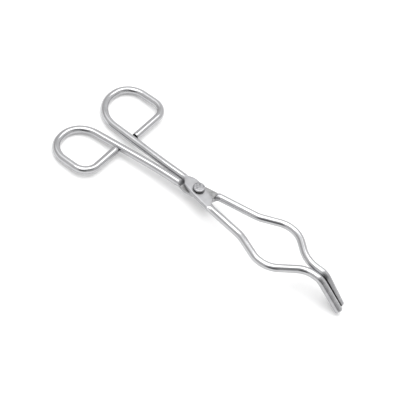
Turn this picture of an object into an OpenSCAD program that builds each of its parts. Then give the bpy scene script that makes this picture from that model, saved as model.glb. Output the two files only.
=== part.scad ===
// Crucible tongs: two bent steel rods, pressed flat where they cross and riveted there.
// Units are millimetres. Each arm is laid out flat with the rivet at the origin, the finger
// loops at -X and the jaws at +X. The pair is then tilted to lie on its loops and tips.

/* [Rod] */
// diameter of the round rod that both arms are bent from
rod_d = 5; // [4:0.1:6]

/* [Finger loops] */
// distance from the rivet to the outer end of the loops
loop_end_x = 88.5; // [80:0.5:100]
// outer side of the upper arm's loop, from the centre line of the tongs
upper_loop_y = 40; // [36:0.5:44]
// outer side of the lower arm's loop, from the centre line of the tongs
lower_loop_y = 38; // [36:0.5:44]
// crossbar of the upper arm's loop, from the rivet
upper_crossbar_x = 55; // [50:0.5:60]
// crossbar of the lower arm's loop, from the rivet
lower_crossbar_x = 57; // [50:0.5:60]
// bend between the crossbar and the outer side
corner_bend_r = 9.5; // [6:0.5:12]
// bend of the upper arm from the outer side into the loop's end
upper_outer_bend_r = 14; // [10:0.5:15]
// bend of the upper arm from the loop's end into the shank
upper_inner_bend_r = 19; // [12:0.5:19]
// bend of the lower arm from the outer side into the loop's end
lower_outer_bend_r = 13; // [10:0.5:14]
// bend of the lower arm from the loop's end into the shank
lower_inner_bend_r = 15.5; // [12:0.5:16]
// gap left between the cut end of the crossbar and the shank
crossbar_gap = 0.5; // [0.3:0.1:1]

/* [Shanks] */
// distance of the upper arm's shank from the centre line at the loop's end
upper_shank_y = 6; // [5:0.5:8]
// distance of the lower arm's shank from the centre line at the loop's end
lower_shank_y = 9.5; // [8:0.5:11]
// distance from the rivet where the shank eases into line with its neighbour
shank_ease_x = 28; // [20:1:50]
// distance of the shank from the centre line there
shank_ease_y = 3.2; // [3:0.1:5]
// large bend at that place
shank_ease_r = 300; // [150:10:500]

/* [Pressed flats] */
// half the length of the flats, from the rivet to the round rod
flat_half_length = 13; // [10:0.5:16]
// distance from the centre line to the shank where it meets the flat
flat_shank_y = 2.9; // [2.7:0.1:3.5]
// distance from the centre line to the jaw where it meets the flat
flat_jaw_y = 5.6; // [5:0.1:6]
// width of the flats across the middle
flat_width = 10; // [8:0.1:11]
// distance from the rivet to the flats' corner that stands out beside the shank
shank_corner_x = 9.8; // [9:0.1:10]
// distance of that corner from the centre line
shank_corner_y = 1.8; // [0:0.1:2]
// distance from the rivet to the flats' corner that stands out beside the jaw
jaw_corner_x = 12; // [11:0.1:12.5]
// distance of that corner from the centre line
jaw_corner_y = 0.2; // [0:0.1:1]
// air between the two flats
flat_air = 0.08; // [0.05:0.01:0.2]
// how far the faces of the flats lie below the round of the rod
flat_draft = 0.1; // [0.05:0.05:0.4]

/* [Jaws] */
// distance from the rivet to the bend that turns the jaws outward
jaw_out_x = 39; // [35:0.5:45]
// distance of that bend's corner from the centre line
jaw_out_y = 9.7; // [7:0.1:11]
// radius of that bend
jaw_out_r = 21; // [15:1:25]
// distance from the rivet to the widest corner of the bow
bow_x = 61; // [55:0.5:65]
// distance of that corner from the centre line
bow_y = 20; // [15:0.5:22]
// radius of the bend at that corner
bow_r = 16; // [10:0.5:17]
// place where the upper arm's jaw turns back along the centre line
upper_return_x = 82; // [78:0.5:83]
// place where the lower arm's jaw turns back along the centre line
lower_return_x = 79; // [75:0.5:80]
// radius of the upper arm's bend there
upper_return_r = 15; // [12:0.5:16]
// radius of the lower arm's bend there
lower_return_r = 20; // [12:0.5:21]

/* [Tips] */
// distance from the rivet to the bend of the tips
tip_bend_x = 92; // [90:0.5:95]
// radius of that bend
tip_bend_r = 8; // [6:0.5:9]
// angle of the upper arm's tip below the plane of the arms
upper_tip_drop = 40; // [30:1:50]
// angle of the lower arm's tip below the plane of the arms
lower_tip_drop = 45; // [30:1:50]
// length of the upper arm's tip from its bend corner
upper_tip_length = 24; // [20:0.5:30]
// length of the lower arm's tip from its bend corner
lower_tip_length = 23.5; // [20:0.5:30]
// distance of each tip's axis from the centre line
tip_y = 2.7; // [2.5:0.05:3]
// edge round at the ends of the tips
tip_round = 1; // [0.5:0.1:2]
// distance from the centre line to the gripping face of each tip
grip_face_y = 0.35; // [0.25:0.05:0.5]
// depth of the gripping teeth
tooth_depth = 0.4; // [0.2:0.1:0.8]
// spacing of the gripping teeth
tooth_pitch = 1.6; // [1:0.1:3]

/* [Rivet] */
// diameter of the rivet's shank
rivet_d = 4; // [3:0.1:5]
// radial running clearance in the upper arm
rivet_play = 0.05; // [0.01:0.01:0.1]
// diameter of both heads
head_d = 7.6; // [6:0.1:9]
// height of the upper head
head_h = 2; // [0.8:0.1:2.5]
// edge round of the heads
head_round = 0.6; // [0.2:0.1:1]
// height of the lower head
tail_h = 1.1; // [0.8:0.1:2]

/* [Hidden] */
$fn = 64;
rod_r = rod_d / 2;
flat_top = rod_r - flat_draft;
flat_inner = flat_air / 2;
// how far the outer corner of the loop's end lies in from the end
loop_corner_inset = 2.5;
// how far the inner corner of the loop's end lies out past the end
loop_corner_lean = 2;
// length of the ramp from the flats up to the shank
ramp_run = rod_r;
// length of the ramp from the flats up to the jaw
jaw_ramp_run = rod_r / 2;
// distance from the rivet to the start of the jaw's ramp
jaw_ramp_x = 10.2;
// middle of the flats' round cheek on the shank's side
shank_cheek_middle = [-2.5, 0.1];
// middle of the flats' round cheek on the jaw's side
jaw_cheek_middle = [5, -2.3];
// how far the flats' outer corner stands beside the shank's centre line
shank_shoulder = 1.8;
// how far the flats' outer corner stands beside the jaw's centre line
jaw_shoulder = 2.2;
// half the width of the room cut for the other arm
room_half_width = rod_d * 3;
// how far a cutting body reaches past what it cuts
overcut = 1;
// extra height and half-width of the groove cutters, outside the gripping face
groove_over = 0.4;
// distance from the end of the tip's bend to the first groove
first_groove = tooth_pitch * 1.5;
// how far the rods' ends are let into the flats
flat_bite = 0.3;
// straight pieces along each rounded cheek of the flats
cheek_steps = 8;
// straight pieces along each rounded edge of the tips and the rivet
edge_steps = 5;
// the pair is tilted about Y until the loops and the lower arm's tip touch the same level
tip_ring_r = rod_r - tip_round;
tip_ring_x = tip_bend_x + (lower_tip_length - tip_round) * cos(lower_tip_drop);
tip_ring_z = -(lower_tip_length - tip_round) * sin(lower_tip_drop);
tilt_a = tip_ring_x + loop_end_x - tip_ring_r * sin(lower_tip_drop);
tilt_b = tip_ring_z - tip_ring_r * cos(lower_tip_drop);
tilt = asin(-tip_ring_r / norm([tilt_a, tilt_b])) - atan2(tilt_b, tilt_a);
lift = loop_end_x * sin(tilt) + rod_r;
steel = [0.78, 0.79, 0.8];

// straights are this much slimmer than bends and reach this far into them, which joins them soundly
joint_slim = 0.01;
joint_reach = 0.1;

// unit vector of an angle, and the angle of a vector, both in the XY plane
function unit(angle) = [cos(angle), sin(angle)];
function heading(from, to) = atan2(to.y - from.y, to.x - from.x);
// signed turn from one heading to the next, between -180 and 180
function turn(a, b) = let (t = (b - a) % 360) t > 180 ? t - 360 : t < -180 ? t + 360 : t;
// length of straight rod that a bend of radius r takes away on each side of its corner
function setback(path, i, r) =
    r * tan(abs(turn(heading(path[i - 1], path[i]), heading(path[i], path[i + 1]))) / 2);

// points along an arc of centre c and radius r
function arc_points(c, r, a0, a1, n) = [for (i = [0 : n]) c + r * unit(a0 + (a1 - a0) * i / n)];

// straight rod in the XY plane, reaching a little past both of its ends
module straight(from, to) {
    start = from - joint_reach * unit(heading(from, to));
    translate([start.x, start.y, 0])
        rotate([0, 90, heading(from, to)])
            cylinder(h = norm(to - from) + 2 * joint_reach, r = rod_r - joint_slim);
}

// round bend of radius r at corner i of a path
module bend(path, i, r) {
    into = heading(path[i - 1], path[i]);
    angle = turn(into, heading(path[i], path[i + 1]));
    side = sign(angle);
    start = path[i] - setback(path, i, r) * unit(into);
    centre = start + r * unit(into + 90 * side);
    translate([centre.x, centre.y, 0])
        rotate([0, 0, into - 90 * side])
            rotate_extrude(angle = angle)
                translate([r, 0])
                    circle(r = rod_r);
}

// rod bent along a path, radii[i] being the bend at corner i
module bent_rod(path, radii) {
    last = len(path) - 1;
    for (i = [1 : last]) {
        from = i == 1 ? path[0]
            : path[i - 1] + setback(path, i - 1, radii[i - 1]) * unit(heading(path[i - 1], path[i]));
        to = i == last ? path[last]
            : path[i] - setback(path, i, radii[i]) * unit(heading(path[i - 1], path[i]));
        straight(from, to);
        if (i < last) bend(path, i, radii[i]);
    }
}

// direction square to the line that wraps disc a and disc b, [x, y, radius] each, on the left of a to b
function wrap_angle(a, b) = heading(a, b) + acos((a[2] - b[2]) / norm([b.x - a.x, b.y - a.y]));

// points where a line wraps the discs in turn, keeping each disc on its right
function wrap_points(discs) = [
    for (i = [1 : len(discs) - 2])
        let (
            a = wrap_angle(discs[i - 1], discs[i]),
            b = a + turn(a, wrap_angle(discs[i], discs[i + 1]))
        )
        each arc_points([discs[i].x, discs[i].y], discs[i][2], a, b, cheek_steps)
];

// outline of a pressed flat: it slants from the shank's side to the jaw's side
module flat_outline() {
    shank_cheek = [each shank_cheek_middle, flat_width / 2];
    jaw_cheek = [each jaw_cheek_middle, flat_width / 2];
    shank_outer = [-flat_half_length, flat_shank_y + shank_shoulder, 0];
    shank_inner = [-shank_corner_x, -shank_corner_y, 0];
    jaw_inner = [jaw_corner_x, -jaw_corner_y, 0];
    jaw_outer = [flat_half_length, -flat_jaw_y - jaw_shoulder, 0];
    polygon(concat(
        [[shank_outer.x, shank_outer.y]],
        wrap_points([shank_outer, shank_cheek, jaw_cheek, jaw_inner]),
        [[jaw_inner.x, jaw_inner.y], [jaw_outer.x, jaw_outer.y]],
        wrap_points([jaw_outer, jaw_cheek, shank_cheek, shank_inner]),
        [[shank_inner.x, shank_inner.y]]
    ));
}

// pressed flat above the middle plane, with the hole for the rivet
module flat(hole_d) {
    difference() {
        translate([0, 0, flat_inner])
            linear_extrude(height = flat_top - flat_inner)
                flat_outline();
        translate([0, 0, -overcut])
            cylinder(h = rod_d, d = hole_d);
    }
}

// room below a flat for the other arm, with a ramp at each end
module flat_room() {
    shank_end = -flat_half_length + ramp_run;
    top = flat_inner + flat_bite;
    depth = rod_d;
    translate([0, room_half_width, 0])
        rotate([90, 0, 0])
            linear_extrude(height = 2 * room_half_width)
                polygon([
                    [shank_end, top],
                    [jaw_ramp_x, top],
                    [jaw_ramp_x + depth * jaw_ramp_run / rod_r, top - depth],
                    [shank_end - depth, top - depth]
                ]);
}

// finger loop and shank, from the cut end of the crossbar to the flat
module loop_and_shank(loop_y, crossbar_x, shank_y0, outer_r, inner_r) {
    shank_slope = (shank_y0 - shank_ease_y) / (loop_end_x + loop_corner_lean - shank_ease_x);
    shank_y = shank_ease_y + shank_slope * (crossbar_x - shank_ease_x);
    path = [
        [-crossbar_x, shank_y + rod_r + crossbar_gap],
        [-crossbar_x, loop_y],
        [-loop_end_x + loop_corner_inset, loop_y],
        [-loop_end_x - loop_corner_lean, shank_y0],
        [-shank_ease_x, shank_ease_y],
        [-flat_half_length + ramp_run, flat_shank_y]
    ];
    radii = [0, corner_bend_r, outer_r, inner_r, shank_ease_r, 0];
    bent_rod(path, radii);
}

// jaw from the flat to the start of the tip bend
module jaw(return_x, return_r, drop) {
    path = [
        [jaw_ramp_x - flat_bite, -flat_jaw_y + flat_bite],
        [jaw_out_x, -jaw_out_y],
        [bow_x, -bow_y],
        [return_x, -tip_y],
        [tip_bend_x - tip_bend_r * tan(drop / 2), -tip_y]
    ];
    radii = [0, jaw_out_r, bow_r, return_r, 0];
    bent_rod(path, radii);
}

// teeth across the gripping face of a tip, spaced along it
module tooth_cuts(length) {
    reach = tooth_depth + groove_over;
    for (s = [first_groove : tooth_pitch : length - tooth_pitch])
        translate([-rod_r - overcut, -grip_face_y - tooth_depth, s])
            rotate([0, 90, 0])
                linear_extrude(height = rod_d + 2 * overcut)
                    polygon([[0, 0], [-reach, reach], [reach, reach]]);
}

// half section of a round bar of length l that ends in a rounded edge
module bar_section(l, r, edge) {
    polygon(concat([[0, 0], [r, 0]], arc_points([r - edge, l - edge], edge, 0, 90, edge_steps), [[0, l]]));
}

// straight end of a tip, along +Z from the end of its bend
module tip_end(length) {
    difference() {
        translate([0, -tip_y, -joint_reach])
            rotate_extrude()
                bar_section(length + joint_reach, rod_r - joint_slim, tip_round);
        translate([-rod_d, -grip_face_y, tooth_pitch])
            cube([2 * rod_d, rod_d, length]);
        tooth_cuts(length);
    }
}

// tip: a bend down out of the plane of the arm, then the gripping end
module tip(tip_length, drop) {
    back = tip_bend_r * tan(drop / 2);
    translate([tip_bend_x - back, -tip_y, -tip_bend_r])
        rotate([90, 0, 0])
            rotate([0, 0, 90 - drop])
                rotate_extrude(angle = drop)
                    translate([tip_bend_r, 0])
                        circle(r = rod_r);
    translate([tip_bend_x + back * cos(drop), 0, -back * sin(drop)])
        rotate([0, 90 + drop, 0])
            tip_end(tip_length - back);
}

// arm without its tip: loop at +Y and jaw at -Y come in as children, flat above the middle plane
module arm(hole_d) {
    flat(hole_d);
    difference() {
        union() children();
        flat_room();
    }
}

// place the pair as it lies on a bench, centred over its own middle
module laid_down() {
    translate([0, 0, lift])
        rotate([0, -tilt, 0])
            children();
}

module upper_arm() {
    color(steel) laid_down() {
        arm(rivet_d + 2 * rivet_play) {
            loop_and_shank(
                upper_loop_y, upper_crossbar_x, upper_shank_y, upper_outer_bend_r, upper_inner_bend_r
            );
            jaw(upper_return_x, upper_return_r, upper_tip_drop);
        }
        tip(upper_tip_length, upper_tip_drop);
    }
}

module lower_arm() {
    color(steel) laid_down() {
        rotate([180, 0, 0]) arm(rivet_d) {
            loop_and_shank(
                lower_loop_y, lower_crossbar_x, lower_shank_y, lower_outer_bend_r, lower_inner_bend_r
            );
            jaw(lower_return_x, lower_return_r, lower_tip_drop);
        }
        mirror([0, 1, 0]) tip(lower_tip_length, lower_tip_drop);
    }
}

// rivet: a shank through both flats, with a head at each end
module pivot_rivet() {
    head_r = head_d / 2;
    top = flat_top + flat_air;
    color(steel) laid_down()
        rotate_extrude()
            polygon(concat(
                [[0, -flat_top - tail_h]],
                arc_points(
                    [head_r - head_round, -flat_top - tail_h + head_round], head_round, -90, 0, edge_steps
                ),
                [[head_r, -flat_top], [rivet_d / 2, -flat_top], [rivet_d / 2, top], [head_r, top]],
                arc_points([head_r - head_round, top + head_h - head_round], head_round, 0, 90, edge_steps),
                [[0, top + head_h]]
            ));
}

upper_arm();
lower_arm();
pivot_rivet();
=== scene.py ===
"""Crucible tongs in polished steel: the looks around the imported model.

Lengths are millimetres in the plate frame, where the rivet is the origin, the loops are at -X, the jaws
at +X and the arms lie flat at z = 0. `placed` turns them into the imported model's frame, in metres.
"""
import math

import bmesh
import bpy
from mathutils import Matrix, Vector, noise


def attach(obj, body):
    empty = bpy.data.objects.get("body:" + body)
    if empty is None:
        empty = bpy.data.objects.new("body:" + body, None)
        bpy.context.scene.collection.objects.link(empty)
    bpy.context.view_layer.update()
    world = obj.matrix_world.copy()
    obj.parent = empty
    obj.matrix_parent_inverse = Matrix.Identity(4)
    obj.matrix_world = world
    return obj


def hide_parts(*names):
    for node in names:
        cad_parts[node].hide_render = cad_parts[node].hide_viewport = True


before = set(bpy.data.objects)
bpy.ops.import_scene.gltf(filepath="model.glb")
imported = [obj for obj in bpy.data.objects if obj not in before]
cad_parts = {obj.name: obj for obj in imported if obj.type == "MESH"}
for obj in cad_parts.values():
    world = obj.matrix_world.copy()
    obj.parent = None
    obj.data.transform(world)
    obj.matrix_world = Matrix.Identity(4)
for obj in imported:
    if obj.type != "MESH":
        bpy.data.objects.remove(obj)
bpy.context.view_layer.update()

MM = 0.001

# the rod and the pressed flats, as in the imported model
ROD_R = 2.5
FLAT_LOW = 0.04
FLAT_TOP = 2.4

# the loops, shanks and jaws
LOOP_END_X = 88.5
LOOP_INSET = 2.5
LOOP_LEAN = 2.0
CROSSBAR_GAP = 0.5
SHANK_EASE = (28.0, 3.2)
SHANK_EASE_R = 300
FLAT_TURNS = ((-13.0, 2.9), (-2.5, 0.3), (5.0, -2.3), (13.0, -5.6))
FLAT_TURN_RADII = (10, 12, 12, 10)
JAW_OUT = (39.0, -9.7)
JAW_OUT_R = 21
BOW = (61.0, -20.0)
BOW_R = 16

# edge round of the crossbars' cut ends
CUT_ROUND = 0.3

# the tips
TIP_BEND_X = 92.0
TIP_BEND_R = 8.0
TIP_Y = 2.7
TIP_ROUND = 1.0
GRIP_FACE_Y = 0.35
TOOTH_DEPTH = 0.4
TOOTH_PITCH = 1.6

# the rivet
RIVET_R = 2.0
HEAD_R = 3.8
HEAD_H = 2.0
TAIL_H = 1.1
HEAD_AIR = 0.08

# what differs between the two arms; dark_turns is the share of the way round, from the middle of the
# gripping face over the side seen from above, that carries the painted dark reflection at the tip's bend and
# at its end
UPPER = {
    "loop_y": 40.0, "crossbar_x": 55.0, "shank_y": 6.0, "loop_radii": (9.5, 14.0, 19.0),
    "return_x": 82.0, "return_r": 15.0, "tip_length": 24.0, "tip_rise": -math.radians(40),
    "dark_turns": (0.07, 0.15),
}
LOWER = {
    "loop_y": 38.0, "crossbar_x": 57.0, "shank_y": 9.5, "loop_radii": (9.5, 13.0, 15.5),
    "return_x": 79.0, "return_r": 20.0, "tip_length": 23.5, "tip_rise": math.radians(45),
    "dark_turns": (0.1, 0.17),
}


# ---------------------------------------------------------------- places

def resting_tilt():
    """Angle and lift that lay the loops and the lower arm's tip on the bench."""
    ring_r = ROD_R - TIP_ROUND
    reach = LOWER["tip_length"] - TIP_ROUND
    drop = LOWER["tip_rise"]
    a = TIP_BEND_X + reach * math.cos(drop) + LOOP_END_X - ring_r * math.sin(drop)
    b = -reach * math.sin(drop) - ring_r * math.cos(drop)
    tilt = math.asin(-ring_r / math.hypot(a, b)) - math.atan2(b, a)
    return tilt, LOOP_END_X * math.sin(tilt) + ROD_R


TILT, LIFT = resting_tilt()


def placed(p):
    """A point of the plate frame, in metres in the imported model's frame."""
    x = p[0] * math.cos(TILT) - p[2] * math.sin(TILT)
    z = p[0] * math.sin(TILT) + p[2] * math.cos(TILT) + LIFT
    return Vector((x, p[1], z)) * MM


def ease(t):
    """Smooth step from 0 to 1."""
    t = min(max(t, 0.0), 1.0)
    return t * t * (3 - 2 * t)


# ---------------------------------------------------------------- the centre line of an arm

def arm_corners(arm):
    """Corners of the arm's centre line and the bend at each, from the crossbar's cut end to the tip."""
    slope = (arm["shank_y"] - SHANK_EASE[1]) / (LOOP_END_X + LOOP_LEAN - SHANK_EASE[0])
    shank_y = SHANK_EASE[1] + slope * (arm["crossbar_x"] - SHANK_EASE[0])
    flat = [
        (-arm["crossbar_x"], shank_y + ROD_R + CROSSBAR_GAP),
        (-arm["crossbar_x"], arm["loop_y"]),
        (-LOOP_END_X + LOOP_INSET, arm["loop_y"]),
        (-LOOP_END_X - LOOP_LEAN, arm["shank_y"]),
        (-SHANK_EASE[0], SHANK_EASE[1]),
        *FLAT_TURNS,
        JAW_OUT,
        BOW,
        (arm["return_x"], -TIP_Y),
        (TIP_BEND_X, -TIP_Y),
    ]
    corners = [Vector((x, y, 0)) for x, y in flat]
    run = Vector((math.cos(arm["tip_rise"]), 0, math.sin(arm["tip_rise"])))
    corners.append(corners[-1] + run * arm["tip_length"])
    radii = [
        0, *arm["loop_radii"], SHANK_EASE_R, *FLAT_TURN_RADII,
        JAW_OUT_R, BOW_R, arm["return_r"], TIP_BEND_R, 0,
    ]
    return corners, radii


def line_pieces(corners, radii):
    """Straight and round pieces of a filleted line, each (length, function of distance -> point, way)."""
    pieces = []
    at = corners[0]
    for i in range(1, len(corners)):
        way = (corners[i] - corners[i - 1]).normalized()
        back = 0.0
        if i < len(corners) - 1:
            onward = (corners[i + 1] - corners[i]).normalized()
            angle = way.angle(onward)
            back = radii[i] * math.tan(angle / 2)
        end = corners[i] - way * back
        pieces.append(((end - at).length, straight_piece(at, way)))
        if back:
            side = (onward - way * way.dot(onward)).normalized()
            pieces.append((radii[i] * angle, round_piece(end, way, side, radii[i])))
            end = corners[i] + onward * back
        at = end
    return pieces


def straight_piece(start, way):
    return lambda s: (start + way * s, way)


def round_piece(start, way, side, r):
    def place(s):
        a = s / r
        point = start + way * (r * math.sin(a)) + side * (r * (1 - math.cos(a)))
        return point, way * math.cos(a) + side * math.sin(a)
    return place


# spacing of the rings of skin points, by place
FAR_STEP = 0.9
NEAR_STEP = 0.5
FLAT_STEP = 0.22
TIP_STEP = 0.2
# how far from the rivet the near and the flat spacings reach
NEAR_REACH = 40
FLAT_REACH = 13.5


def stations(pieces):
    """Places along the line: (distance, point, way), close together at the flats and along the tip."""
    total = sum(length for length, _ in pieces)
    tip_start = total - pieces[-1][0]
    found = []
    begin = 0.0
    for length, place in pieces:
        mid, _ = place(length / 2)
        step = FAR_STEP
        if abs(mid.x) < FLAT_REACH:
            step = FLAT_STEP
        elif begin + length / 2 > tip_start:
            step = TIP_STEP
        elif abs(mid.x) < NEAR_REACH:
            step = NEAR_STEP
        count = max(1, math.ceil(length / step))
        for k in range(count):
            s = length * k / count
            found.append((begin + s, *place(s)))
        begin += length
    found.append((total, *pieces[-1][1](pieces[-1][0])))
    return found, tip_start, total


# ---------------------------------------------------------------- the section of an arm

ROUND_STEPS = 72
# beyond this distance from the rivet the section is the plain round rod
ROUND_FROM = 16
# how square the section of a flat is
BOXY_POWER = 9
# the shoulders of the flats, each a point on it, the way square to it towards the flat, and its breadth
SHANK_SHOULDER = (Vector((-11.5, 0.7)), Vector((0.846, 0.533)), 0.5)
JAW_SHOULDER = (Vector((12.0, -2.0)), Vector((-0.97, -0.25)), 2.2)
# the ramps on the inner side, from the round rod to the flat
SHANK_RAMP = (-12.9, -10.2)
JAW_RAMP = (11.4, 10.1)
# half-width of the flats at places along the plate, left and right of the centre line
LEFT_WIDTHS = (
    (-13.5, 1.4), (-11.5, 1.5), (-9, 3.4), (-6.9, 4.3), (-2.6, 4.8), (2, 4.8), (7.2, 4.7), (13, 4.7),
)
RIGHT_WIDTHS = (
    (-13, 4.0), (-9.8, 4.2), (-5, 4.9), (-1.2, 5.2), (2.5, 4.8), (6, 4.3), (10, 3.2), (13.5, 2.5),
)


def flat_half_width(x, side):
    """Half-width of the flat on its left (side 1) or right (side -1)."""
    knots = LEFT_WIDTHS if side > 0 else RIGHT_WIDTHS
    if x <= knots[0][0]:
        return knots[0][1]
    for (x0, w0), (x1, w1) in zip(knots, knots[1:]):
        if x <= x1:
            return w0 + (w1 - w0) * (x - x0) / (x1 - x0)
    return knots[-1][1]


def shoulder_share(x, y):
    """1 on a pressed flat, 0 on the round rod, with a narrow step between."""
    share = 1.0
    for point, inward, breadth in (SHANK_SHOULDER, JAW_SHOULDER):
        share = min(share, ease((Vector((x, y)) - point).dot(inward) / breadth + 0.5))
    return share


def ramp_height(x):
    """Height of the inner side that the press left, from below the round rod up to the flat."""
    start, end = SHANK_RAMP if x < 0 else JAW_RAMP
    t = (x - start) / (end - start)
    return -ROD_R + (FLAT_LOW + ROD_R) * min(max(t, 0.0), 1.0)


def boxy(angle, power):
    """Point of a unit superellipse on the ray at an angle."""
    c = math.cos(angle)
    s = math.sin(angle)
    r = (abs(c) ** power + abs(s) ** power) ** (-1 / power)
    return r * c, r * s


def section(point, left, angle):
    """Sideways and upward distance of the skin from the centre line at a place near the flats."""
    x_round = ROD_R * math.cos(angle)
    z_round = ROD_R * math.sin(angle)
    if abs(point.x) > ROUND_FROM:
        return x_round, z_round
    if z_round < 0:
        return x_round, max(z_round, ramp_height(point.x + left.x * x_round))
    c, s = boxy(angle, BOXY_POWER)
    half = flat_half_width(point.x, 1 if c > 0 else -1)
    x_flat = half * c
    z_flat = FLAT_TOP * s
    share = shoulder_share(point.x + left.x * x_flat, point.y + left.y * x_flat)
    across = x_round + (x_flat - x_round) * share
    high = z_round + (z_flat - z_round) * share
    return across, max(high, ramp_height(point.x + left.x * across))


# share of the way round that a gripping face takes on each side of its middle
GRIP_TURN = 0.055


def grip_limit(s):
    """How far the skin reaches towards the other tip, at a distance along the gripping end."""
    face = TIP_Y - GRIP_FACE_Y
    if s < TOOTH_PITCH:
        return ROD_R
    from_groove = abs((s - TOOTH_PITCH * 1.5 + TOOTH_PITCH / 2) % TOOTH_PITCH - TOOTH_PITCH / 2)
    return face - max(0.0, TOOTH_DEPTH - from_groove)


def end_share(from_end, edge):
    """Share of the rod's radius left where an end is rounded over."""
    if from_end >= edge:
        return 1.0
    drop = edge - math.sqrt(max(0.0, edge * edge - (edge - from_end) ** 2))
    return (ROD_R - drop) / ROD_R


def arm_rings(arm, mirror):
    """Rings of skin points, with the distance along the arm and the place on the plate of each ring."""
    places, tip_start, total = stations(line_pieces(*arm_corners(arm)))
    rings = []
    for s, point, way in places:
        left = Vector((0, 0, 1)).cross(way).normalized()
        up = way.cross(left)
        share = min(end_share(s, CUT_ROUND), end_share(total - s, TIP_ROUND))
        limit = grip_limit(s - tip_start) if s > tip_start else ROD_R * 2
        ring = []
        for k in range(ROUND_STEPS):
            across, high = section(point, left, 2 * math.pi * k / ROUND_STEPS)
            spot = point + left * min(across * share, limit) + up * (high * share)
            ring.append(placed((spot.x, spot.y * mirror, spot.z * mirror)))
        rings.append((s, point.x, ring))
    return rings


# ---------------------------------------------------------------- meshes

# length of the UV map along an arm, in units for each metre
UV_PER_METRE = 10
# corners sharper than these stay sharp
ARM_SHARP = math.radians(32)
RIVET_SHARP = math.radians(45)
# the way round at which the end caps take their material
CAP_TURN = 0.25
LATHE_STEPS = 96


def finish_piece(name, mesh, materials, sharp):
    """Object from a bmesh, with outward normals, its materials and its sharp corners marked."""
    bmesh.ops.recalc_face_normals(mesh, faces=mesh.faces)
    data = bpy.data.meshes.new(name)
    mesh.to_mesh(data)
    mesh.free()
    data.set_sharp_from_angle(angle=sharp)
    for material in materials:
        data.materials.append(material)
    piece = bpy.data.objects.new(name, data)
    bpy.context.collection.objects.link(piece)
    return piece


def skin(name, rings, materials, pick):
    """A closed tube through rings of points, with a UV map of distance along and way round."""
    mesh = bmesh.new()
    uv = mesh.loops.layers.uv.new("along")
    rows = [[mesh.verts.new(p) for p in ring] for _, _, ring in rings]
    steps = len(rows[0])
    for i in range(len(rows) - 1):
        for k in range(steps):
            n = (k + 1) % steps
            face = mesh.faces.new((rows[i][k], rows[i][n], rows[i + 1][n], rows[i + 1][k]))
            face.smooth = True
            face.material_index = pick(rings[i][1], (k + 0.5) / steps)
            spots = ((i, k), (i, k + 1), (i + 1, k + 1), (i + 1, k))
            for loop, (row, turn) in zip(face.loops, spots):
                loop[uv].uv = (rings[row][0] * MM * UV_PER_METRE, turn / steps)
    for row, last in ((rows[0], False), (rows[-1], True)):
        centre = mesh.verts.new(sum((v.co for v in row), Vector()) / steps)
        for k in range(steps):
            pair = (row[k], row[(k + 1) % steps])
            face = mesh.faces.new((*(pair if last else pair[::-1]), centre))
            face.smooth = True
            face.material_index = pick(rings[-1 if last else 0][1], CAP_TURN)
    return finish_piece(name, mesh, materials, ARM_SHARP)


def lathe(name, profile, wobble, materials, pick):
    """A turned piece about the rivet's axis. wobble(r, angle, z) moves a point as a hammer would."""
    steps = LATHE_STEPS
    mesh = bmesh.new()
    rows = []
    for r, z in profile:
        row = []
        for k in range(steps):
            a = 2 * math.pi * k / steps
            dr, dz = wobble(r, a, z)
            row.append(mesh.verts.new(placed(((r + dr) * math.cos(a), (r + dr) * math.sin(a), z + dz))))
        rows.append(row)
    for i in range(len(rows) - 1):
        for k in range(steps):
            n = (k + 1) % steps
            face = mesh.faces.new((rows[i][k], rows[i][n], rows[i + 1][n], rows[i + 1][k]))
            face.smooth = True
            face.material_index = pick(profile[i], profile[i + 1])
    for row in (rows[0], rows[-1]):
        centre = mesh.verts.new(sum((v.co for v in row), Vector()) / steps)
        for k in range(steps):
            mesh.faces.new((row[k], row[(k + 1) % steps], centre)).smooth = True
    return finish_piece(name, mesh, materials, RIVET_SHARP)


# ---------------------------------------------------------------- materials

def new_material(name, base, metallic, roughness):
    material = bpy.data.materials.new(name)
    material.use_nodes = True
    shader = material.node_tree.nodes["Principled BSDF"]
    shader.inputs["Base Color"].default_value = (*base, 1)
    shader.inputs["Metallic"].default_value = metallic
    shader.inputs["Roughness"].default_value = roughness
    return material, material.node_tree, shader


def add_noise(tree, source, stretch, scale, detail=4.0):
    """Noise over a coordinate socket, stretched along each of its axes."""
    mapping = tree.nodes.new("ShaderNodeMapping")
    mapping.inputs["Scale"].default_value = stretch
    tree.links.new(source, mapping.inputs["Vector"])
    node = tree.nodes.new("ShaderNodeTexNoise")
    node.inputs["Scale"].default_value = scale
    node.inputs["Detail"].default_value = detail
    tree.links.new(mapping.outputs["Vector"], node.inputs["Vector"])
    return node.outputs["Fac"]


def add_range(tree, value, low, high, start=0.3, end=0.7):
    """Maps a noise value from start..end to low..high."""
    node = tree.nodes.new("ShaderNodeMapRange")
    node.inputs["From Min"].default_value = start
    node.inputs["From Max"].default_value = end
    node.inputs["To Min"].default_value = low
    node.inputs["To Max"].default_value = high
    tree.links.new(value, node.inputs["Value"])
    return node.outputs["Result"]


def add_tint(tree, value, dark, light):
    """Colour between two greys, chosen by a value."""
    node = tree.nodes.new("ShaderNodeValToRGB")
    node.color_ramp.elements[0].position = 0.3
    node.color_ramp.elements[0].color = (*dark, 1)
    node.color_ramp.elements[1].position = 0.7
    node.color_ramp.elements[1].color = (*light, 1)
    tree.links.new(value, node.inputs["Fac"])
    return node.outputs["Color"]


def add_bump(tree, shader, value, depth, strength):
    node = tree.nodes.new("ShaderNodeBump")
    node.inputs["Distance"].default_value = depth * MM
    node.inputs["Strength"].default_value = strength
    tree.links.new(value, node.inputs["Height"])
    if shader.inputs["Normal"].is_linked:
        tree.links.new(shader.inputs["Normal"].links[0].from_socket, node.inputs["Normal"])
    tree.links.new(node.outputs["Normal"], shader.inputs["Normal"])


def coordinate(tree, name):
    return tree.nodes.new("ShaderNodeTexCoord").outputs[name]


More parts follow.
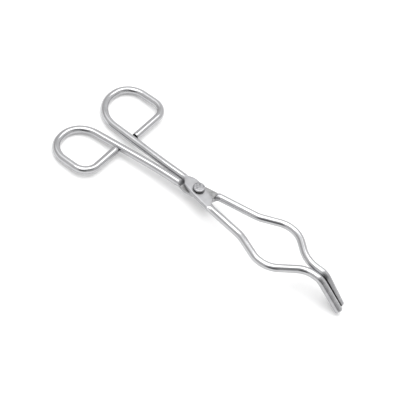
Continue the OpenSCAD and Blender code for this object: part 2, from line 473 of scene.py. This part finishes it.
def polished_steel():
    """Drawn rod polished to a soft mirror, with fine marks along it and a little waviness."""
    material, tree, shader = new_material("polished_steel", (0.6, 0.6, 0.61), 1.0, 0.12)
    along = coordinate(tree, "UV")
    place = coordinate(tree, "Object")
    marks = add_noise(tree, along, (60, 90, 1), 6)
    cloud = add_noise(tree, place, (1, 1, 1), 140, 3)
    tree.links.new(add_range(tree, cloud, 0.06, 0.13), shader.inputs["Roughness"])
    tree.links.new(add_tint(tree, cloud, (0.43, 0.43, 0.44), (0.48, 0.48, 0.49)), shader.inputs["Base Color"])
    add_bump(tree, shader, marks, 0.01, 0.25)
    add_bump(tree, shader, cloud, 0.05, 0.3)
    return material


def pressed_steel():
    """Satin face of the pressed flats."""
    material, tree, shader = new_material("pressed_steel", (0.6, 0.6, 0.61), 1.0, 0.4)
    place = coordinate(tree, "Object")
    grain = add_noise(tree, place, (1, 1, 1), 2500, 2)
    cloud = add_noise(tree, place, (1, 1, 1), 350, 4)
    tree.links.new(add_range(tree, cloud, 0.33, 0.47), shader.inputs["Roughness"])
    tree.links.new(add_tint(tree, cloud, (0.34, 0.34, 0.35), (0.4, 0.4, 0.41)), shader.inputs["Base Color"])
    add_bump(tree, shader, grain, 0.02, 0.3)
    add_bump(tree, shader, cloud, 0.05, 0.3)
    return material


def rubbed_and_painted_shade_steel():
    """Dull dark steel of the faces that rub and grip; where the lower arm's inner face shows beside the upper
    flat, its dark tone is painted shade.
    """
    material, tree, shader = new_material("rubbed_and_painted_shade_steel", (0.25, 0.25, 0.25), 1.0, 0.45)
    place = coordinate(tree, "Object")
    cloud = add_noise(tree, place, (1, 1, 1), 500, 4)
    tree.links.new(add_range(tree, cloud, 0.35, 0.5), shader.inputs["Roughness"])
    tree.links.new(add_tint(tree, cloud, (0.2, 0.2, 0.2), (0.32, 0.32, 0.32)), shader.inputs["Base Color"])
    add_bump(tree, shader, cloud, 0.05, 0.4)
    return material


def tip_steel():
    """Duller steel of the tips, stained by heat."""
    material, tree, shader = new_material("tip_steel", (0.5, 0.5, 0.51), 1.0, 0.25)
    place = coordinate(tree, "Object")
    cloud = add_noise(tree, place, (1, 1, 1), 220, 5)
    tree.links.new(add_range(tree, cloud, 0.18, 0.28), shader.inputs["Roughness"])
    tree.links.new(add_tint(tree, cloud, (0.38, 0.38, 0.39), (0.48, 0.48, 0.49)), shader.inputs["Base Color"])
    add_bump(tree, shader, cloud, 0.05, 0.4)
    return material


def hammered_steel():
    """Peened face of the rivet's heads."""
    material, tree, shader = new_material("hammered_steel", (0.6, 0.6, 0.61), 1.0, 0.32)
    place = coordinate(tree, "Object")
    dents = add_noise(tree, place, (1, 1, 1), 900, 2)
    tree.links.new(add_range(tree, dents, 0.25, 0.42), shader.inputs["Roughness"])
    tree.links.new(add_tint(tree, dents, (0.25, 0.25, 0.26), (0.36, 0.36, 0.37)), shader.inputs["Base Color"])
    add_bump(tree, shader, dents, 0.25, 0.6)
    return material


def painted_shadow_and_reflection_steel():
    """Near-black painted shade: the painted shadow in the corner under the rivet's heads, and the painted
    dark reflection along the tips' toothed gripping side.
    """
    material, tree, shader = new_material("painted_shadow_and_reflection_steel", (0.05, 0.05, 0.05), 0.6, 0.6)
    place = coordinate(tree, "Object")
    cloud = add_noise(tree, place, (1, 1, 1), 800, 3)
    tree.links.new(add_tint(tree, cloud, (0.02, 0.02, 0.02), (0.07, 0.07, 0.07)), shader.inputs["Base Color"])
    tree.links.new(add_range(tree, cloud, 0.5, 0.7), shader.inputs["Roughness"])
    return material


# ---------------------------------------------------------------- pieces

POLISHED, PRESSED, TIP, RUBBED_AND_SHADED, PAINTED_DARK = range(5)
# how far from the rivet the satin outer face and the rubbed inner face of a flat reach; the inner face's dark
# tone is also painted shade
PRESSED_REACH = 12.5
RUBBED_AND_SHADED_REACH = 10.4


def arm_material(x, turn, arm, mirror):
    """Material of the arm at a place along the plate and a share of the way round, the outer side first."""
    if abs(x) < PRESSED_REACH:
        # inner face: rubbed steel, its dark tone also painted shade where the lower flat shows beside the
        # upper one
        return RUBBED_AND_SHADED if turn > 0.5 and abs(x) < RUBBED_AND_SHADED_REACH else PRESSED
    if x < TIP_BEND_X:
        return POLISHED
    from_grip = turn if mirror > 0 else 1 - turn
    at_bend, at_end = arm["dark_turns"]
    tip_run = arm["tip_length"] * math.cos(arm["tip_rise"])
    reach = at_bend + (at_end - at_bend) * (x - TIP_BEND_X) / tip_run
    # the band of painted dark reflection along the tip's gripping side and over the side seen from above
    return PAINTED_DARK if from_grip < reach or from_grip > 1 - GRIP_TURN else TIP


def build_arm(name, arm, mirror, body, node, steels):
    def pick(x, turn):
        return arm_material(x, turn, arm, mirror)

    piece = skin(name, arm_rings(arm, mirror), steels, pick)
    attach(piece, body)
    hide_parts(node)
    return piece


def rivet_profile():
    """Outline of the rivet from its lower head's middle to its upper head's middle."""
    low = -FLAT_TOP
    high = FLAT_TOP + HEAD_AIR
    return [
        (0.6, low - TAIL_H), (1.6, low - TAIL_H), (2.6, low - TAIL_H + 0.08), (3.2, low - TAIL_H + 0.3),
        (3.5, low - 0.45), (3.55, low - 0.2), (3.5, low),
        (RIVET_R, low), (RIVET_R, high),
        (3.1, high), (3.35, high + 0.35), (3.65, high + 0.75), (HEAD_R, high + 1.1), (3.78, high + 1.4),
        (3.6, high + 1.7), (3.2, high + HEAD_H - 0.08), (2.6, high + HEAD_H - 0.03),
        (2.0, high + HEAD_H - 0.06),
        (1.4, high + HEAD_H), (0.8, high + HEAD_H), (0.3, high + HEAD_H),
    ]


# uneven marks of the heads: how deep, how fine, and where the noise starts
RIM_DEPTH = 0.07
RIM_SCALE = 0.45
RIM_START = Vector((3, 5, 7))
DENT_DEPTH = 0.05
DENT_SCALE = 1.1
# the painted shadow under the heads reaches this far out from the flats, on the sides taller than this
PAINTED_SHADOW_REACH = 0.9
PAINTED_SHADOW_MIN_RISE = 0.2


def hammer_marks(r, angle, z):
    """Small uneven moves of a point on a head; the shank between the heads stays true."""
    if abs(z) <= FLAT_TOP + HEAD_AIR:
        return 0.0, 0.0
    spot = Vector((r * math.cos(angle), r * math.sin(angle), z))
    rim = RIM_DEPTH * noise.noise(spot * RIM_SCALE + RIM_START)
    dent = DENT_DEPTH * noise.noise(spot * DENT_SCALE)
    return (rim if r > RIVET_R else 0.0), -abs(dent)


def build_rivet(steels):
    def pick(a, b):
        # a head's side close to the flat takes the near-black painted shadow
        from_flat = min(abs(a[1]), abs(b[1])) - FLAT_TOP
        in_corner = max(a[0], b[0]) > RIVET_R and 0 <= from_flat < PAINTED_SHADOW_REACH
        return 1 if in_corner and abs(a[1] - b[1]) > PAINTED_SHADOW_MIN_RISE else 0

    piece = lathe("rivet", rivet_profile(), hammer_marks, steels, pick)
    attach(piece, "lower")
    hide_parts("pivot_rivet")
    return piece


# ---------------------------------------------------------------- stage

CAMERA_TARGET = Vector((4.74, -4.48, 9.48)) * MM
CAMERA_DISTANCE = 684.65 * MM
CAMERA_ELEVATION = math.radians(51.68)
CAMERA_SWING = math.radians(18.87)
CAMERA_ROLL = math.radians(22.28)
CAMERA_LENS = 101.585
CAMERA_SENSOR = 36
CAMERA_CLIP = 0.01


def add_camera():
    """Camera on the -Y side, swung towards +X, looking down and rolled."""
    back = Vector((
        math.cos(CAMERA_ELEVATION) * math.sin(CAMERA_SWING),
        -math.cos(CAMERA_ELEVATION) * math.cos(CAMERA_SWING),
        math.sin(CAMERA_ELEVATION),
    ))
    right = Vector((0, 0, 1)).cross(back).normalized()
    up = back.cross(right)
    rolled = right * math.cos(CAMERA_ROLL) + up * math.sin(CAMERA_ROLL)
    rolled_up = back.cross(rolled)
    data = bpy.data.cameras.new("camera")
    data.lens = CAMERA_LENS
    data.sensor_width = CAMERA_SENSOR
    data.clip_start = CAMERA_CLIP
    camera = bpy.data.objects.new("camera", data)
    turn = Matrix((rolled, rolled_up, back)).transposed()
    camera.matrix_world = Matrix.Translation(CAMERA_TARGET + back * CAMERA_DISTANCE) @ turn.to_4x4()
    bpy.context.collection.objects.link(camera)
    bpy.context.scene.camera = camera


# the floor: half its side in metres, and a slight glow that keeps shadows pale
FLOOR_HALF = 3.0
FLOOR_GLOW = 0.14


def add_floor():
    """Plain white paper, a large sheet."""
    half = FLOOR_HALF
    data = bpy.data.meshes.new("floor")
    corners = [(-half, -half, 0), (half, -half, 0), (half, half, 0), (-half, half, 0)]
    data.from_pydata(corners, [], [(0, 1, 2, 3)])
    material, tree, shader = new_material("white_paper", (0.9, 0.9, 0.9), 0.0, 0.9)
    shader.inputs["Specular IOR Level"].default_value = 0.1
    shader.inputs["Emission Color"].default_value = (1, 1, 1, 1)
    shader.inputs["Emission Strength"].default_value = FLOOR_GLOW
    data.materials.append(material)
    floor = bpy.data.objects.new("floor", data)
    bpy.context.collection.objects.link(floor)


def around(swing, height):
    """Direction at an angle round from the camera, towards its right, and at an angle above the floor."""
    swing = math.radians(swing) + CAMERA_SWING
    height = math.radians(height)
    toward = Vector((math.sin(swing), -math.cos(swing), 0)) * math.cos(height)
    return toward + Vector((0, 0, math.sin(height)))


# the softbox: its two sides and its place in metres, its power in watts and its turn about the vertical
SOFTBOX_SIZE = (0.67, 1.34)
SOFTBOX_PLACE = (-0.075, 0.15, 1.0)
SOFTBOX_POWER = 6.5
SOFTBOX_TURN = math.radians(-11)


def add_softbox():
    """Long softbox overhead."""
    data = bpy.data.lights.new("softbox", "AREA")
    data.shape = "RECTANGLE"
    data.size, data.size_y = SOFTBOX_SIZE
    data.energy = SOFTBOX_POWER
    light = bpy.data.objects.new("softbox", data)
    light.location = SOFTBOX_PLACE
    light.rotation_euler = (0, 0, SOFTBOX_TURN)
    bpy.context.collection.objects.link(light)


def add_lobe(tree, way, direction, inner, outer, value):
    """Factor that is `value` within an angle of a direction and 1 beyond a wider angle."""
    dot = tree.nodes.new("ShaderNodeVectorMath")
    dot.operation = "DOT_PRODUCT"
    dot.inputs[1].default_value = direction
    tree.links.new(way, dot.inputs[0])
    node = tree.nodes.new("ShaderNodeMapRange")
    node.interpolation_type = "SMOOTHSTEP"
    node.inputs["From Min"].default_value = math.cos(math.radians(outer))
    node.inputs["From Max"].default_value = math.cos(math.radians(inner))
    node.inputs["To Min"].default_value = 1
    node.inputs["To Max"].default_value = value
    tree.links.new(dot.outputs["Value"], node.inputs["Value"])
    return node.outputs["Result"]


def multiply(tree, a, b):
    node = tree.nodes.new("ShaderNodeMath")
    node.operation = "MULTIPLY"
    tree.links.new(a, node.inputs[0])
    tree.links.new(b, node.inputs[1])
    return node.outputs["Value"]


WORLD_STRENGTH = 0.88


def add_world():
    """Pale studio with darker and brighter patches; the camera itself sees plain white behind the floor."""
    world = bpy.data.worlds.new("studio")
    bpy.context.scene.world = world
    world.use_nodes = True
    tree = world.node_tree
    background = tree.nodes["Background"]
    way = tree.nodes.new("ShaderNodeTexCoord").outputs["Generated"]
    # direction, inner and outer angle in degrees, and brightness against the rest of the studio
    lobes = (
        # dark where the camera and its holder stand
        (around(12, 25), 13, 27, 0.22),
        (around(50, 46), 10, 30, 0.5),
        # a little darker on the left, brighter at the back and beside the softbox
        (around(-120, 30), 10, 45, 0.8),
        (around(178, 35), 20, 75, 1.2),
        (around(-112, 58), 8, 26, 2.0),
    )
    shade = None
    for direction, inner, outer, value in lobes:
        lobe = add_lobe(tree, way, direction, inner, outer, value)
        shade = multiply(tree, shade, lobe) if shade else lobe
    tree.links.new(shade, background.inputs["Color"])
    background.inputs["Strength"].default_value = WORLD_STRENGTH
    plain = tree.nodes.new("ShaderNodeBackground")
    plain.inputs["Color"].default_value = (1, 1, 1, 1)
    seen = tree.nodes.new("ShaderNodeLightPath").outputs["Is Camera Ray"]
    mix = tree.nodes.new("ShaderNodeMixShader")
    tree.links.new(seen, mix.inputs["Fac"])
    tree.links.new(background.outputs["Background"], mix.inputs[1])
    tree.links.new(plain.outputs["Background"], mix.inputs[2])
    tree.links.new(mix.outputs["Shader"], tree.nodes["World Output"].inputs["Surface"])


def main():
    # near-black material that paints the shadow under the rivet's heads and the dark reflection along the
    # tips
    black = painted_shadow_and_reflection_steel()
    steels = [polished_steel(), pressed_steel(), tip_steel(), rubbed_and_painted_shade_steel(), black]
    build_arm("upper_arm_skin", UPPER, 1, "upper", "upper_arm", steels)
    build_arm("lower_arm_skin", LOWER, -1, "lower", "lower_arm", steels)
    build_rivet([hammered_steel(), black])
    add_camera()
    add_floor()
    add_softbox()
    add_world()
    bpy.context.scene.view_settings.view_transform = "Standard"


main()
